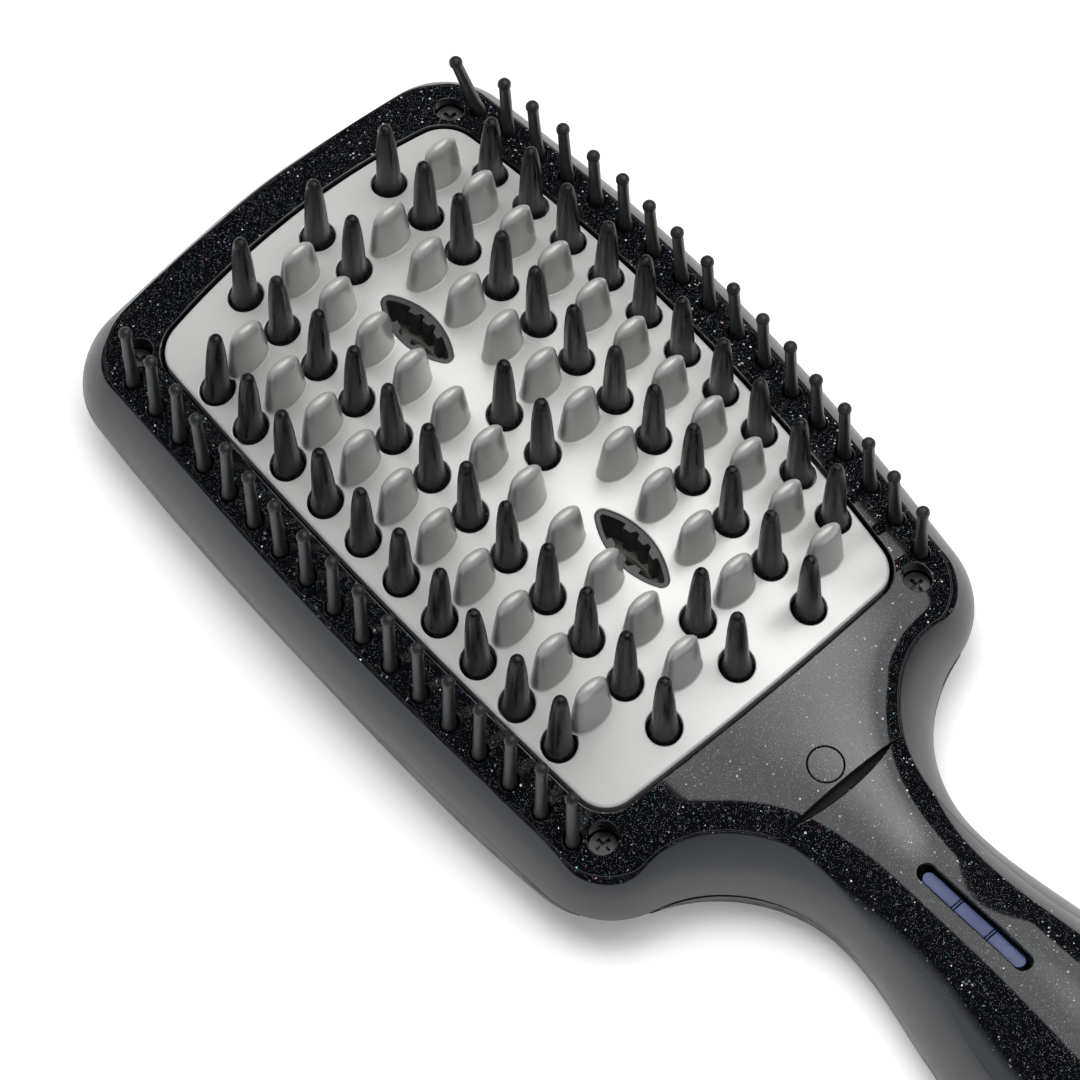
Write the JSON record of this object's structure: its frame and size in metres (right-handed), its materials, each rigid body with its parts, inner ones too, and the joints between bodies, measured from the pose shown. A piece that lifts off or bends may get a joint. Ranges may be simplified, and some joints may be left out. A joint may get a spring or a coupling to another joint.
{
  "type": "steam hair straightener brush",
  "caption": "Handheld heated brush: domed plate of metal fins and bristles on a slim handle, with steam outlets, water tank, buttons and swivelling cord gland.",
  "frame": {"origin": "middle of the bounding box, on the plane that the brush rests on", "axes": "+Y towards the end of the head, +Z out of the heated face, +X across the head"},
  "size_m": [0.087, 0.294, 0.0467],
  "materials": {
    "gloss_black": "glossy black moulded plastic with a fine metallic fleck",
    "heated_silver": "satin to gloss silver coated metal",
    "bristle_charcoal": "satin charcoal heat-proof silicone",
    "outlet_grey": "matt grey heat-proof plastic",
    "heater_ceramic": "white ceramic",
    "mica": "mica sheet",
    "steel": "zinc plated steel",
    "pressed_steel": "pressed sheet steel",
    "nylon": "natural nylon",
    "silicone_hose": "milky silicone",
    "seal_rubber": "black sealing rubber",
    "lens_blue": "slate-blue translucent lens",
    "board_green": "green circuit board",
    "switch_black": "black switch bodies",
    "led_white": "white indicator lamps",
    "key_silver": "silver-grey painted key",
    "key_black": "gloss black key",
    "tank_smoke": "smoke-tinted clear plastic",
    "gland_black": "matt black plastic",
    "wire": "silicone-covered wire",
    "terminal": "terminal block plastic"
  },
  "bodies": {
    "handset": {"head_panel": "gloss_black", "front_housing": "gloss_black", "rear_housing": "gloss_black", "heated_plate": "heated_silver", "bristle_mat": "bristle_charcoal", "left_edge_bristles": "bristle_charcoal", "right_edge_bristles": "bristle_charcoal", "outlet_ducts": "outlet_grey", "steam_chamber": "pressed_steel", "steam_hose": "silicone_hose", "heaters": "heater_ceramic", "mica_sheets": "mica", "heater_clamp": "pressed_steel", "clamp_screws": "steel", "thermistor": "heater_ceramic", "thermal_fuse": "steel", "panel_screws": "steel", "neck_screw": "steel", "neck_plug": "gloss_black", "light_pipe": "lens_blue", "indicator_leds": "led_white", "control_board": "board_green", "tact_switches": "switch_black", "board_screws": "steel", "pump": "nylon", "tank_seal": "seal_rubber", "terminal_block": "terminal", "mains_leads": "wire", "heater_leads": "wire", "handle_screws": "steel"},
    "heat_key": {"heat_button": "key_silver"},
    "power_key": {"power_button": "key_silver"},
    "steam_trigger": {"steam_button": "key_black"},
    "tank": {"water_tank": "tank_smoke"},
    "filler_cap": {"tank_cap": "seal_rubber"},
    "gland": {"cord_gland": "gland_black"}
  },
  "joints": [
    {"name": "heat_button_press", "type": "slide", "parent": "handset", "child": "heat_key", "axis": [0, 0, -1], "range_m": [0, 0.0008], "stiffness_N_per_m": 800},
    {"name": "power_button_press", "type": "slide", "parent": "handset", "child": "power_key", "axis": [0, 0, -1], "range_m": [0, 0.0008], "stiffness_N_per_m": 800},
    {"name": "steam_button_press", "type": "slide", "parent": "handset", "child": "steam_trigger", "axis": [0, 0, -1], "range_m": [0, 0.003], "stiffness_N_per_m": 900},
    {"name": "tank_pull", "type": "slide", "parent": "handset", "child": "tank", "axis": [0, 0, -1], "range_m": [0, 0.018]},
    {"name": "tank_cap_pull", "type": "slide", "parent": "tank", "child": "filler_cap", "axis": [0, 0, -1], "range_m": [0, 0.006]},
    {"name": "cord_gland_turn", "type": "hinge", "parent": "handset", "child": "gland", "pos_m": [0, -0.139, 0.013], "axis": [0, 1, 0], "continuous": true}
  ]
}
